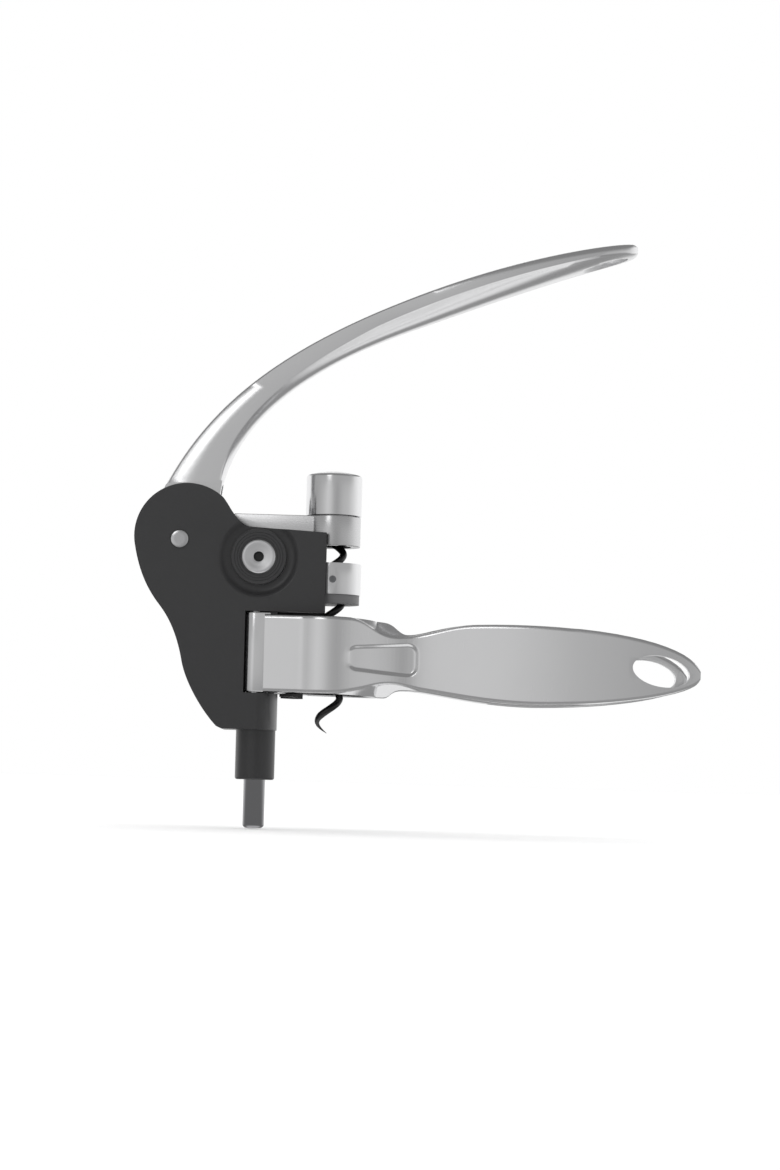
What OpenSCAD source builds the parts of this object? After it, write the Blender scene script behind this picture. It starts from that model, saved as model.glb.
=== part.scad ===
// Lever corkscrew with two hand grips that clamp the bottle neck.
// +X points to the free ends of the handles, +Z is up, and the spiral stands
// on the Z axis. The origin is on the spiral's axis at mid height of the jaws.

/* [Body shells] */
// Distance from the middle plane to the inner face of a side shell
shell_inner = 10.3; // [9.8:0.1:11]
// Thickness of a side shell's plate
shell_t = 3; // [2.4:0.1:3.2]
// Radius of the round lobe that holds the lever
lobe_r = 18; // [17.8:0.1:18.4]
// Wall of the spine that joins the two shells
spine_t = 3; // [2:0.5:4]

/* [Lever drive] */
// Place of the lever pivot along X
pivot_x = -52.1; // [-52.4:0.1:-51.9]
// Height of the lever pivot
pivot_z = 37.5; // [37.2:0.1:37.8]
// Module of the gear teeth
tooth_module = 1.25; // [1.25]
// Teeth on a full turn of the sector's pitch circle
full_teeth = 31; // [31]
// Teeth cut on the sector and spaces cut in the rack
cut_teeth = 11; // [11]
// Play between meshing teeth, along the pitch line
backlash = 0.3; // [0.2:0.05:0.4]

/* [Carriage] */
// Place of the guide rod's axis along X
rod_x = -24.8; // [-25:0.1:-24.6]
// Diameter of the guide rod
rod_d = 7.5; // [7:0.1:8]
// Lower end of the guide rod
rod_bottom = -60.4; // [-62:0.1:-58]
// Half width of the carriage arm
arm_half = 6.6; // [6:0.1:6.8]
// Radius of the collar that carries the spiral
collar_r = 9.45; // [9:0.05:9.6]
// Underside and top of the collar
collar_z = [37.2, 47.3];
// Radius of the knob above the collar
cap_r = 9.6; // [9.4:0.1:9.8]
// Top of the knob
cap_top = 63.1; // [60:0.1:65]

/* [Spiral] */
// Radius of the spiral's centre line
worm_r = 3.75; // [3.6:0.05:3.8]
// Diameter of the coated wire
wire_d = 2.5; // [2.2:0.1:2.6]
// Rise of the spiral in one turn
worm_pitch = 16.5; // [16.5]
// Height of the point of the spiral
worm_tip_z = -27; // [-28:0.5:-26]
// Height over which the point of the spiral is ground
worm_taper = 6; // [3:0.5:8]

/* [Nut] */
// Radius of the metal ring that holds the nut
nut_ring_r = 10; // [9.9:0.05:10.1]
// Underside and top of the metal ring
nut_ring_z = [20.5, 31.2];
// Radius of the plastic nut
nut_r = 9.6; // [9.4:0.1:9.7]
// Underside of the plastic nut
nut_bottom = 17.3; // [17:0.1:17.8]

/* [Jaws and handles] */
// Inner radius of the rubber pads, half of a bottle neck
neck_r = 14.2; // [14:0.1:14.4]
// Outer radius of the metal jaws
jaw_r = 20.2; // [20:0.1:20.4]
// Place of the hinge axis, X and distance from the middle plane
hinge = [-25.6, 10.4];
// Diameter of the hinge barrel
barrel_d = 6.8; // [6.4:0.1:6.8]
// Length of the handles, measured from the spiral's axis
handle_x = 125.6; // [124:0.1:127]

/* [Hidden] */
$fn = 64;

eps = 0.01;
shell_outer = shell_inner + shell_t;
pitch_r = tooth_module * full_teeth / 2;
tip_r = pitch_r + tooth_module;
root_r = pitch_r - 1.25 * tooth_module;
pressure_angle = 20;
base_r = pitch_r * cos(pressure_angle);
tooth_pitch = PI * tooth_module;
tooth_step = 360 / full_teeth;
rack_x = pivot_x + pitch_r;
rack_root_x = rack_x + 1.25 * tooth_module;
rack_tip_x = rack_x - tooth_module;
sector_half = 3.5;
lever_half = 7.5;
hub_r = 12.5;
pin_r = 2.5;
pin_head_r = 3.1;
bush_r = 4;
run = 0.05;
slot_clear_r = tip_r + 0.6;

lobe_x = -49.6;
lobe_z = 38.6;
body_bottom = -26.6;
notch_x = -29.1;
notch_top = 13.7;
notch_bottom = -14.1;
plate_right = -2.1;
lower_right = -17.6;
boss_x = -25;
boss_z = 32.1;
boss_r = 9.45;
boss_h = 2;
moat_r = 13.5;
moat_depth = 1.2;
rivet_r = 5.7;
rivet_hole_r = 1.7;
rivet_shank_r = 3;
screw_places = [[-48.2, 8.5], [-42.5, -9], [-36.4, -19.8]];
screw_post_r = 3;
tube_r = 6.8;
tube_bottom = -43.7;
tube_top = -13.9;
rod_bush_r = 4.75;
rod_top = 46;
rack_half = 5.6;
rack_right = -18.6;
rack_bottom = -11.4;
rack_top = 41;
cheek_inner = 6.9;
cheek_outer = 10.2;
pad_gap = 0.05;
worm_phase_z = 34.6;
nut_seat_r = 7.5;
nut_top = 30.4;
head_r = 6;
head_bush_r = 7.2;
seat_r = 7.8;
bush_top = 44;
inlay_bed = 1;
jaw_bottom = -13.8;
jaw_top = 12.4;
pad_back_r = 16.8;
pad_lip_r = 19.4;
pad_top = 10.6;
pad_floor = -13.5;
pad_bottom = -15.2;
lug_z = 6.2;
hinge_pin_r = 1.5;
hang_hole = [112, -3.4];
hang_hole_axes = [9.8, 5.2];
hang_hole_tilt = -10;

// ---------- curves ----------

// Points on a cubic curve with end points a and d
function bez(a, b, c, d, n = 8) =
    [for (i = [0 : n]) let (t = i / n)
        pow(1 - t, 3) * a + 3 * t * pow(1 - t, 2) * b + 3 * t * t * (1 - t) * c + t * t * t * d];

// Points on an arc about a centre, from angle a0 to angle a1
function arc(centre, r, a0, a1, n = 12) =
    [for (i = [0 : n]) let (a = a0 + (a1 - a0) * i / n)
        centre + r * [cos(a), sin(a)]];

// Mirrors a list of points to the other side of the X axis
function flip(points) = [for (p = points) [p[0], -p[1]]];

// Lays an outline drawn in X and Z upright, thick from y0 to y1
module upright(y0, y1) {
    translate([0, y1, 0])
        rotate([90, 0, 0])
            linear_extrude(y1 - y0)
                children();
}

// A cylinder along Y from y0 to y1
module y_rod(x, z, r, y0, y1) {
    translate([x, y1, z])
        rotate([90, 0, 0])
            cylinder(r = r, h = y1 - y0);
}

// A cylinder along Z from z0 to z1
module z_rod(x, y, r, z0, z1) {
    translate([x, y, z0])
        cylinder(r = r, h = z1 - z0);
}

// ---------- body shells ----------

// Left edge of the body, from the lobe down to the floor of the body
left_edge = concat(
    bez([-67.3, 35.3], [-65.7, 26.6], [-63.1, 20.6], [-58.1, 14.5]),
    bez([-58.1, 14.5], [-53.8, 9.1], [-51.6, 2.4], [-50.4, -3.7]),
    bez([-50.4, -3.7], [-49.0, -11.1], [-42.9, -20.9], [-38.0, -25.8]));

module body_outline() {
    translate([lobe_x, lobe_z])
        circle(r = lobe_r);
    polygon(concat(left_edge,
        [[-36.2, body_bottom], [rod_x + 0.5, body_bottom], [rod_x + 0.5, notch_bottom],
         [notch_x, notch_bottom], [notch_x, notch_top], [plate_right, notch_top],
         [plate_right, 41.0], [-28.1, 42.4]],
        bez([-28.1, 42.4], [-33.0, 42.7], [-35.7, 50.5], [-38.0, 52.4], 6)));
}

// The wall that closes the body at its left edge and its floor
module spine_outline() {
    difference() {
        body_outline();
        translate([spine_t, spine_t * 0.7])
            body_outline();
        translate([pivot_x, pivot_z])
            circle(r = slot_clear_r);
        translate([notch_x - 2, notch_bottom - 2])
            square([60, 80]);
        translate([-70, 18])
            square([60, 60]);
    }
}

// Plan of the lower block's rounded nose, from the middle plane outwards
nose = concat([[-36.2, 0], [-36.2, shell_outer], [rod_x + 0.5, shell_outer]],
    [for (a = [80 : -10 : 0])
        [rod_x + 0.5 + (lower_right - rod_x - 0.5) * cos(a), shell_outer * sin(a)]]);

// Half shell on the side of positive Y
module half_shell() {
    difference() {
        union() {
            upright(shell_inner, shell_outer)
                body_outline();
            upright(0, shell_inner + eps)
                spine_outline();
            translate([0, 0, body_bottom])
                linear_extrude(notch_bottom - body_bottom)
                    polygon(nose);
            y_rod(boss_x, boss_z, boss_r, shell_inner, shell_outer + boss_h);
            for (place = screw_places)
                y_rod(place[0], place[1], screw_post_r, 0, shell_inner + eps);
            for (z = [notch_top, notch_bottom - lug_z])
                translate([notch_x - 0.4, 7.2, z])
                    cube([7.4, shell_inner - 7.2 + eps, lug_z]);
        }
        // dished moat around the boss
        translate([boss_x, shell_outer, boss_z])
            rotate([-90, 0, 0])
                rotate_extrude()
                    polygon([[boss_r, -moat_depth], [boss_r + 1.2, -moat_depth],
                        [moat_r, 0], [moat_r, 1], [boss_r, 1]]);
        // seats of the lever pin and its heads
        y_rod(pivot_x, pivot_z, pin_r, 0, shell_outer + 1);
        y_rod(pivot_x, pivot_z, pin_head_r, shell_outer - 1, shell_outer + 1);
        // seat of the boss rivet
        y_rod(boss_x, boss_z, rivet_shank_r, 0, shell_outer + boss_h + 1);
        y_rod(boss_x, boss_z, rivet_r + run, shell_outer + boss_h - 0.8, shell_outer + boss_h + 1);
        // seats of the hinge pin, above and below the jaw
        z_rod(hinge[0], hinge[1], hinge_pin_r, notch_bottom - lug_z - 1, notch_top + lug_z + 1);
        // seat of the guide tube
        z_rod(rod_x, 0, tube_r, body_bottom - 1, notch_bottom + 1);
    }
}

module front_shell() {
    color("#3f3f41")
        difference() {
            mirror([0, 1, 0])
                half_shell();
            for (place = screw_places)
                y_rod(place[0], place[1], 1.25, -9, 1);
        }
}

module rear_shell() {
    color("#3f3f41")
        difference() {
            half_shell();
            for (place = screw_places) {
                y_rod(place[0], place[1], 1.4, -1, shell_outer);
                y_rod(place[0], place[1], 2.9, shell_outer - 2, shell_outer + 1);
            }
        }
}

module shell_screws() {
    color("#2b2b2d")
        for (place = screw_places) {
            y_rod(place[0], place[1], 1.25, -8.5, shell_outer - 1.9);
            difference() {
                y_rod(place[0], place[1], 2.8, shell_outer - 2, shell_outer - 0.2);
                translate([place[0], shell_outer + 0.1, place[1]])
                    cube([0.7, 2, 3.4], center = true);
                translate([place[0], shell_outer + 0.1, place[1]])
                    cube([3.4, 2, 0.7], center = true);
            }
        }
}

module guide_tube() {
    color("#454547")
        translate([rod_x, 0, 0])
            rotate_extrude()
                polygon([[rod_bush_r, tube_bottom], [tube_r - 0.8, tube_bottom],
                    [tube_r, tube_bottom + 0.8], [tube_r, tube_top], [rod_bush_r, tube_top]]);
}

module rod_bush() {
    color("#b08d57")
        translate([rod_x, 0, tube_bottom + 0.5])
            difference() {
                cylinder(r = rod_bush_r, h = tube_top - tube_bottom - 1);
                translate([0, 0, -1])
                    cylinder(r = rod_d / 2 + run, h = tube_top - tube_bottom + 2);
            }
}

module pivot_pin() {
    color("#c8c8ca") {
        y_rod(pivot_x, pivot_z, pin_r, 1 - shell_outer, shell_outer - 1);
        for (side = [-1, 1])
            translate([pivot_x, side * (shell_outer - 1), pivot_z])
                rotate([-90 * side, 0, 0])
                    rotate_extrude()
                        polygon([[0, 0], [pin_head_r, 0], [pin_head_r, 1.0],
                            [pin_head_r - 0.5, 1.5], [0, 1.5]]);
    }
}

module pivot_washers() {
    color("#e4e2da")
        for (y0 = [lever_half + run, -shell_inner + run])
            difference() {
                y_rod(pivot_x, pivot_z, 6.5, y0, y0 + shell_inner - lever_half - 2 * run);
                y_rod(pivot_x, pivot_z, pin_r + run, y0 - 1, y0 + shell_inner);
            }
}

// Dished rivet with a hole down its middle, on the side of positive Y
module boss_rivet() {
    color("#c9c9cb")
        translate([boss_x, 0, boss_z])
            rotate([-90, 0, 0])
                rotate_extrude()
                    polygon([[rivet_hole_r, 8.2], [rivet_shank_r, 8.2],
                        [rivet_shank_r, shell_outer + boss_h - 0.8],
                        [rivet_r, shell_outer + boss_h - 0.8],
                        [rivet_r, shell_outer + boss_h + 0.1],
                        [rivet_r - 0.7, shell_outer + boss_h + 0.5],
                        [rivet_hole_r + 1.2, shell_outer + boss_h - 0.1],
                        [rivet_hole_r, shell_outer + boss_h - 0.1]]);
}

module front_boss_rivet() {
    mirror([0, 1, 0])
        boss_rivet();
}

module rear_boss_rivet() {
    boss_rivet();
}

module hinge_pin(side) {
    color("#b9b9bb")
        z_rod(hinge[0], side * hinge[1], hinge_pin_r,
            notch_bottom - lug_z + 0.3, notch_top + lug_z - 0.3);
}

module front_hinge_pin() {
    hinge_pin(-1);
}

module rear_hinge_pin() {
    hinge_pin(1);
}

// ---------- nut ----------

// Side cheek of the nut yoke, drawn in X and Z
module cheek_outline() {
    translate([-32.4, 21.4])
        square([26.4, 9.8]);
    translate([boss_x, boss_z])
        circle(r = 6.4);
}

module nut_yoke() {
    color("#b4b4b6")
        difference() {
            union() {
                z_rod(0, 0, nut_ring_r, nut_ring_z[0], nut_ring_z[1]);
                for (side = [-1, 1])
                    upright(side > 0 ? cheek_inner : -cheek_outer,
                            side > 0 ? cheek_outer : -cheek_inner)
                        cheek_outline();
                translate([-15, -cheek_outer, 21.4])
                    cube([8, 2 * cheek_outer, 9.8]);
            }
            z_rod(0, 0, nut_seat_r, nut_ring_z[0] - 1, nut_ring_z[1] + 1);
            for (side = [-1, 1]) {
                y_rod(boss_x, boss_z, rivet_shank_r, side > 0 ? 0 : -20, side > 0 ? 20 : 0);
                translate([-30.6, side > 0 ? cheek_inner - 1 : -cheek_inner - 0.6, 22])
                    cube([12, 1.6, 8.6]);
            }
            y_rod(0.3, 25.5, 1.2, -nut_ring_r - 1, -5);
        }
}

// Slide pad set in a cheek, on the side of positive Y
module slide_pad() {
    color("#e4e2da")
        translate([-30.6, rack_half + pad_gap, 22])
            cube([12, cheek_inner + 0.6 - rack_half - pad_gap, 8.6]);
}

module front_slide_pad() {
    mirror([0, 1, 0])
        slide_pad();
}

module rear_slide_pad() {
    slide_pad();
}

// Tube that follows the spiral from height z0 to z1, ground to a point over the first rise of taper
module coil(r, z0, z1, taper = 0, steps_per_turn = 24, sides = 12) {
    steps = ceil((z1 - z0) / worm_pitch * steps_per_turn);
    slope = atan(worm_pitch / (2 * PI * worm_r));
    points = [for (i = [0 : steps])
        let (z = z0 + (z1 - z0) * i / steps,
             a = 360 * (z - worm_phase_z) / worm_pitch,
             full = taper > 0 ? min(1, 0.1 + 0.9 * (z - z0) / taper) : 1)
        for (j = [0 : sides - 1])
            let (out = full * r * cos(360 * j / sides), up = full * r * sin(360 * j / sides))
            [(worm_r + out) * cos(a) + up * sin(slope) * sin(a),
             (worm_r + out) * sin(a) - up * sin(slope) * cos(a),
             z + up * cos(slope)]];
    quads = [for (i = [0 : steps - 1], j = [0 : sides - 1])
        [i * sides + j, i * sides + (j + 1) % sides,
         (i + 1) * sides + (j + 1) % sides, (i + 1) * sides + j]];
    ends = [[for (j = [sides - 1 : -1 : 0]) j],
        [for (j = [0 : sides - 1]) steps * sides + j]];
    polyhedron(points, concat(quads, ends), convexity = 6);
}

module nut_insert() {
    color("#6d6d6f")
        difference() {
            rotate_extrude()
                polygon([[0, nut_bottom], [nut_r, nut_bottom], [nut_r, nut_ring_z[0]],
                    [nut_seat_r, nut_ring_z[0]], [nut_seat_r, nut_top], [0, nut_top]]);
            coil(wire_d / 2 + 0.35, nut_bottom - 3, nut_top + 3);
        }
}

module nut_pin() {
    color("#8a8a8c")
        difference() {
            y_rod(0.3, 25.5, 1.2, -nut_ring_r - 0.1, -nut_seat_r - 0.2);
            translate([0.3, -nut_ring_r, 25.5])
                cube([0.4, 0.8, 1.6], center = true);
        }
}

// ---------- lever ----------

lever_top = concat(
    bez([-57.9, 56.0], [-43.0, 85.7], [-18.2, 103.2], [12.9, 117.1]),
    bez([12.9, 117.1], [44.5, 131.0], [71.1, 138.1], [100.3, 143.2]));
// Lower edge of the lever's flat sides
lever_ridge = concat(
    bez([99.9, 139.9], [76, 134.6], [45, 126.6], [14.1, 112.3]),
    bez([14.1, 112.3], [-8, 100.5], [-36, 82], [-38.9, 58]));
// Keel of the rounded underside, in the middle plane
lever_keel = concat(
    bez([101.0, 139.8], [77.1, 132.7], [51.5, 122.9], [25.9, 112.9]),
    bez([25.9, 112.9], [-19.1, 95.8], [-33.9, 75.6], [-38.6, 57.2]));
lever_tip = [[102.0, 142.8], [102.5, 141.7], [102.0, 140.6]];
lever_root = [[-41.1, 44.5], [pivot_x, pivot_z], [-63.8, 41.9]];

// Half plan of the lever, wide at the free end
lever_plan = concat(
    [[-80, lever_half], [-30, lever_half]],
    bez([-30, lever_half], [5, 7.6], [20, 12.6], [62, 13.6]),
    bez([62, 13.6], [90, 14.2], [102.5, 11.5], [102.5, 0]));

// Slice of the lever between its upper edge and a lower edge, narrowed by a factor
module lever_slab(lower_edge, narrow) {
    half = [for (p = lever_plan) [p[0], p[1] * narrow]];
    intersection() {
        upright(-20, 20)
            polygon(concat(lever_top, lever_tip, lower_edge, lever_root));
        translate([0, 0, 20])
            linear_extrude(140)
                polygon(concat(half, flip([for (i = [len(half) - 2 : -1 : 0]) half[i]])));
    }
}

module lever_arm() {
    color("#bdbdbf")
        difference() {
            union() {
                lever_slab(lever_ridge, 1);
                lever_slab(lever_keel, 0.62);
                y_rod(pivot_x, pivot_z, hub_r, -lever_half, lever_half);
            }
            // slot that takes the gear sector
            y_rod(pivot_x, pivot_z, hub_r + 1.2, -sector_half, sector_half);
            y_rod(pivot_x, pivot_z, bush_r, -lever_half - 1, lever_half + 1);
            for (a = [110, 70])
                y_rod(pivot_x + 9 * cos(a), pivot_z + 9 * sin(a), 1.25, -lever_half - 1, lever_half + 1);
            // hanging hole near the free end
            translate([91, 0, 120])
                linear_extrude(40)
                    polygon([for (a = [0 : 20 : 340]) [8 * cos(a), 5.5 * sin(a)]]);
            // bed of the inlay strip
            lever_inlay_block(4);
        }
}

// Block along the inlay's bed, from the floor of the bed up to a height over it
module lever_inlay_block(height) {
    strip = bez([-25.9, 94.1], [-20.4, 98.5], [-14.6, 102.2], [-7.8, 106.1], 6);
    shift = [-0.53, 0.85];
    upright(-4.2, 4.2)
        polygon(concat([for (p = strip) p + (height - inlay_bed) * shift],
            [for (i = [len(strip) - 1 : -1 : 0]) strip[i] - inlay_bed * shift]));
}

// Strip that follows the upper edge of the lever
module lever_inlay() {
    color("#6b6b6d")
        lever_inlay_block(inlay_bed + 0.5);
}

// Half angle of a gear tooth at radius r
function tooth_half(r) =
    let (at = acos(min(1, base_r / max(r, base_r))))
    (tooth_pitch / 2 - backlash / 2) / (2 * pitch_r) * 180 / PI
        + (tan(pressure_angle) - tan(at)) * 180 / PI - pressure_angle + at;

module gear_tooth() {
    radii = [for (i = [0 : 4]) base_r + (tip_r - base_r) * i / 4];
    flank = concat([[root_r - 0.4, tooth_half(base_r)]],
        [for (r = radii) [r, tooth_half(r)]]);
    polygon(concat([for (f = flank) f[0] * [cos(f[1]), -sin(f[1])]],
        [for (i = [len(flank) - 1 : -1 : 0]) flank[i][0] * [cos(flank[i][1]), sin(flank[i][1])]]));
}

module gear_sector() {
    sector_end = -tooth_step * (cut_teeth - 1) - 5.4;
    color("#8f9092")
        difference() {
            translate([pivot_x, 0, pivot_z])
                upright(-sector_half, sector_half)
                    union() {
                        circle(r = hub_r);
                        polygon(concat([[0, 0]], arc([0, 0], root_r, sector_end, 5.4, 30)));
                        for (i = [0 : cut_teeth - 1])
                            rotate(-tooth_step * i)
                                gear_tooth();
                    }
            y_rod(pivot_x, pivot_z, bush_r, -20, 20);
            for (a = [110, 70])
                y_rod(pivot_x + 9 * cos(a), pivot_z + 9 * sin(a), 1.25, -20, 20);
        }
}

module sector_rivets() {
    color("#9d9d9f")
        for (a = [110, 70])
            y_rod(pivot_x + 9 * cos(a), pivot_z + 9 * sin(a), 1.25, -lever_half, lever_half);
}

module lever_bush() {
    color("#b08d57")
        difference() {
            y_rod(pivot_x, pivot_z, bush_r, -lever_half, lever_half);
            y_rod(pivot_x, pivot_z, pin_r + run, -lever_half - 1, lever_half + 1);
        }
}

// ---------- carriage ----------

module carriage_arm() {
    color("#b2b2b4")
        difference() {
            union() {
                translate([rack_tip_x, -arm_half, rack_top])
                    cube([-rack_tip_x, 2 * arm_half, collar_z[1] - rack_top]);
                translate([rack_right, -arm_half, collar_z[0]])
                    cube([-rack_right, 2 * arm_half, collar_z[1] - collar_z[0]]);
                z_rod(0, 0, collar_r, collar_z[0], collar_z[1]);
            }
            // relief over the last tooth of the rack
            translate([rack_tip_x - 1, -arm_half - 1, rack_top - 1])
                cube([rack_root_x - rack_tip_x + 1, 2 * arm_half + 2, 3.8]);
            z_rod(rod_x, 0, rod_d / 2, rack_top - 1, rod_top);
            z_rod(0, 0, head_bush_r, collar_z[0] + 1, collar_z[1] + 1);
            z_rod(0, 0, head_r + 0.4, collar_z[0] - 1, collar_z[0] + 2);
            z_rod(0, 0, seat_r, bush_top, collar_z[1] + 1);
        }
}

module rack_bar() {
    half_tooth = (tooth_pitch / 2 - backlash / 2) / 2;
    lean = tan(pressure_angle);
    module rack_tooth() {
        polygon([[rack_root_x + eps, -half_tooth - (rack_root_x - rack_x) * lean],
            [rack_tip_x, -half_tooth + (rack_x - rack_tip_x) * lean],
            [rack_tip_x, half_tooth - (rack_x - rack_tip_x) * lean],
            [rack_root_x + eps, half_tooth + (rack_root_x - rack_x) * lean]]);
    }
    color("#8a8b8d")
        difference() {
            union() {
                translate([rack_root_x, -rack_half, rack_bottom])
                    cube([rack_right - rack_root_x, 2 * rack_half, rack_top - rack_bottom]);
                upright(-rack_half, rack_half)
                    for (i = [0 : cut_teeth])
                        translate([0, pivot_z - tooth_pitch * (i - 0.5)])
                            rack_tooth();
            }
            z_rod(rod_x, 0, rod_d / 2, rack_bottom - 1, rack_top + 1);
        }
}

module guide_rod() {
    color("#a9a9ab")
        translate([rod_x, 0, 0])
            rotate_extrude()
                polygon([[0, rod_bottom], [rod_d / 2 - 0.7, rod_bottom], [rod_d / 2, rod_bottom + 0.7],
                    [rod_d / 2, rod_top - 0.5], [rod_d / 2 - 0.5, rod_top], [0, rod_top]]);
}

module worm_bush() {
    color("#b08d57")
        difference() {
            z_rod(0, 0, head_bush_r, collar_z[0] + 1, bush_top);
            z_rod(0, 0, head_r + run, collar_z[0], 46);
        }
}

module thrust_washer() {
    color("#e4e2da")
        z_rod(0, 0, head_bush_r, bush_top + 1.85, bush_top + 2.5);
}

module cap_plug() {
    color("#9d9d9f")
        z_rod(0, 0, seat_r, bush_top + 2.5, 53);
}

module worm_cap() {
    dome = 1.3;
    color("#b6b6b8")
        difference() {
            rotate_extrude()
                polygon(concat([[0, collar_z[1] + 0.25], [cap_r - 0.3, collar_z[1] + 0.25],
                    [cap_r, collar_z[1] + 0.55]],
                    [for (i = [0 : 8]) let (a = 90 * i / 8)
                        [(cap_r - 1) + cos(a), cap_top - dome - 1 + sin(a)]],
                    [for (i = [1 : 5]) let (s = 1 - i / 5)
                        [(cap_r - 1) * s, cap_top - dome * s * s]]));
            z_rod(0, 0, seat_r, collar_z[1] - 1, cap_top - 3);
        }
}

module worm() {
    color("#161617")
        coil(wire_d / 2, worm_tip_z, 40.6, worm_taper);
}

module worm_head() {
    color("#2a2a2c")
        difference() {
            union() {
                z_rod(0, 0, head_r, collar_z[0] + 0.4, bush_top + run + eps);
                z_rod(0, 0, head_bush_r, bush_top + run, bush_top + 1.8);
            }
            z_rod(0, 0, worm_r + wire_d / 2 + 0.1, collar_z[0] - 1, 42.5);
        }
}

// ---------- handles ----------

// Outer and inner edge of a handle in plan, on the side of positive Y
handle_outer = concat(
    [[hinge[0] + 1.5, hinge[1] + 2]],
    arc([0, 0], jaw_r, 120, 70, 10),
    bez([6.9, 19.0], [13.0, 16.8], [18.5, 11.9], [26.5, 11.6]),
    bez([26.5, 11.6], [37.0, 11.2], [54.0, 18.2], [84.0, 20.6]),
    bez([84.0, 20.6], [102.0, 22.0], [116.0, 22.3], [handle_x, 20.6]));
handle_inner = concat(
    [[handle_x, 17.6]],
    bez([handle_x - 2, 17.3], [104.0, 18.4], [92.0, 17.9], [82.0, 16.9]),
    bez([82.0, 16.9], [54.0, 14.2], [38.0, 7.6], [28.0, 7.6]),
    bez([28.0, 7.6], [22.5, 7.4], [18.0, 6.6], [pad_back_r * cos(18), pad_back_r * sin(18)], 4),
    arc([0, 0], pad_back_r, 22, 155, 20),
    [[-19.5, 7.1], [hinge[0] + 1.5, hinge[1] - 2]]);

// Outline of a handle seen from the side
handle_side = concat(
    [[-30, jaw_top + 1.0], [-22.4, jaw_top + 0.7], [-20, jaw_top + 0.2]],
    bez([-20, jaw_top + 0.2], [0, 12.4], [14, 11.7], [22.8, 9.1], 6),
    bez([22.8, 9.1], [27.8, 7.6], [35.6, 9.6], [47.3, 10.9]),
    bez([47.3, 10.9], [82.4, 12.3], [119.4, 8.1], [handle_x, -3.2]),
    bez([handle_x, -5.2], [125.3, -11.4], [94.1, -15.9], [68.8, -15.9]),
    bez([68.8, -15.9], [53.1, -15.7], [41.5, -12.9], [31.6, -11.5]),
    bez([31.6, -11.5], [26, -12.6], [20, -14.2], [12, -14.1], 4),
    [[0, -13.9], [-20, jaw_bottom], [-30, jaw_bottom]]);

// Handle on the side of positive Y
module handle() {
    difference() {
        union() {
            intersection() {
                translate([0, 0, -20])
                    linear_extrude(40)
                        polygon(concat(handle_outer, handle_inner));
                upright(0, 30)
                    polygon(handle_side);
            }
            z_rod(hinge[0], hinge[1], barrel_d / 2, jaw_bottom, jaw_top + 1.1);
        }
        z_rod(hinge[0], hinge[1], hinge_pin_r + run, jaw_bottom - 5, jaw_top + 5);
        translate([hang_hole[0], 0, hang_hole[1]])
            rotate([0, -hang_hole_tilt, 0])
                upright(-5, 30)
                    polygon([for (a = [0 : 15 : 345])
                        [hang_hole_axes[0] * cos(a), hang_hole_axes[1] * sin(a)]]);
    }
}

module front_handle() {
    color("#c4c4c6")
        mirror([0, 1, 0])
            handle();
}

module rear_handle() {
    color("#c4c4c6")
        handle();
}

// Rubber lining of a jaw with a lip under the metal
module jaw_pad() {
    // lining of the jaw, then the lip that hooks under the jaw near its hinge
    color("#1b1b1c") {
        translate([0, 0, pad_floor])
            linear_extrude(pad_top - pad_floor)
                polygon(concat(arc([0, 0], pad_back_r - run, 26, 150, 20), arc([0, 0], neck_r, 150, 26, 20)));
        translate([0, 0, pad_bottom])
            linear_extrude(pad_floor + eps - pad_bottom)
                polygon(concat(arc([0, 0], pad_back_r - run, 128, 150, 6), arc([0, 0], neck_r + 0.5, 150, 128, 6)));
        translate([0, 0, pad_bottom])
            linear_extrude(jaw_bottom - 0.4 - pad_bottom)
                polygon(concat(arc([0, 0], pad_lip_r, 128, 150, 6), arc([0, 0], neck_r + 0.5, 150, 128, 6)));
    }
}

module front_jaw_pad() {
    mirror([0, 1, 0])
        jaw_pad();
}

module rear_jaw_pad() {
    jaw_pad();
}

front_shell();
rear_shell();
shell_screws();
guide_tube();
rod_bush();
nut_yoke();
nut_insert();
nut_pin();
front_slide_pad();
rear_slide_pad();
front_boss_rivet();
rear_boss_rivet();
pivot_pin();
pivot_washers();
front_hinge_pin();
rear_hinge_pin();
lever_arm();
lever_inlay();
gear_sector();
sector_rivets();
lever_bush();
carriage_arm();
rack_bar();
guide_rod();
worm_bush();
thrust_washer();
cap_plug();
worm_cap();
worm();
worm_head();
front_handle();
front_jaw_pad();
rear_handle();
rear_jaw_pad();
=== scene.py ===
import math

import bpy
from mathutils import Matrix, Vector


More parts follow.
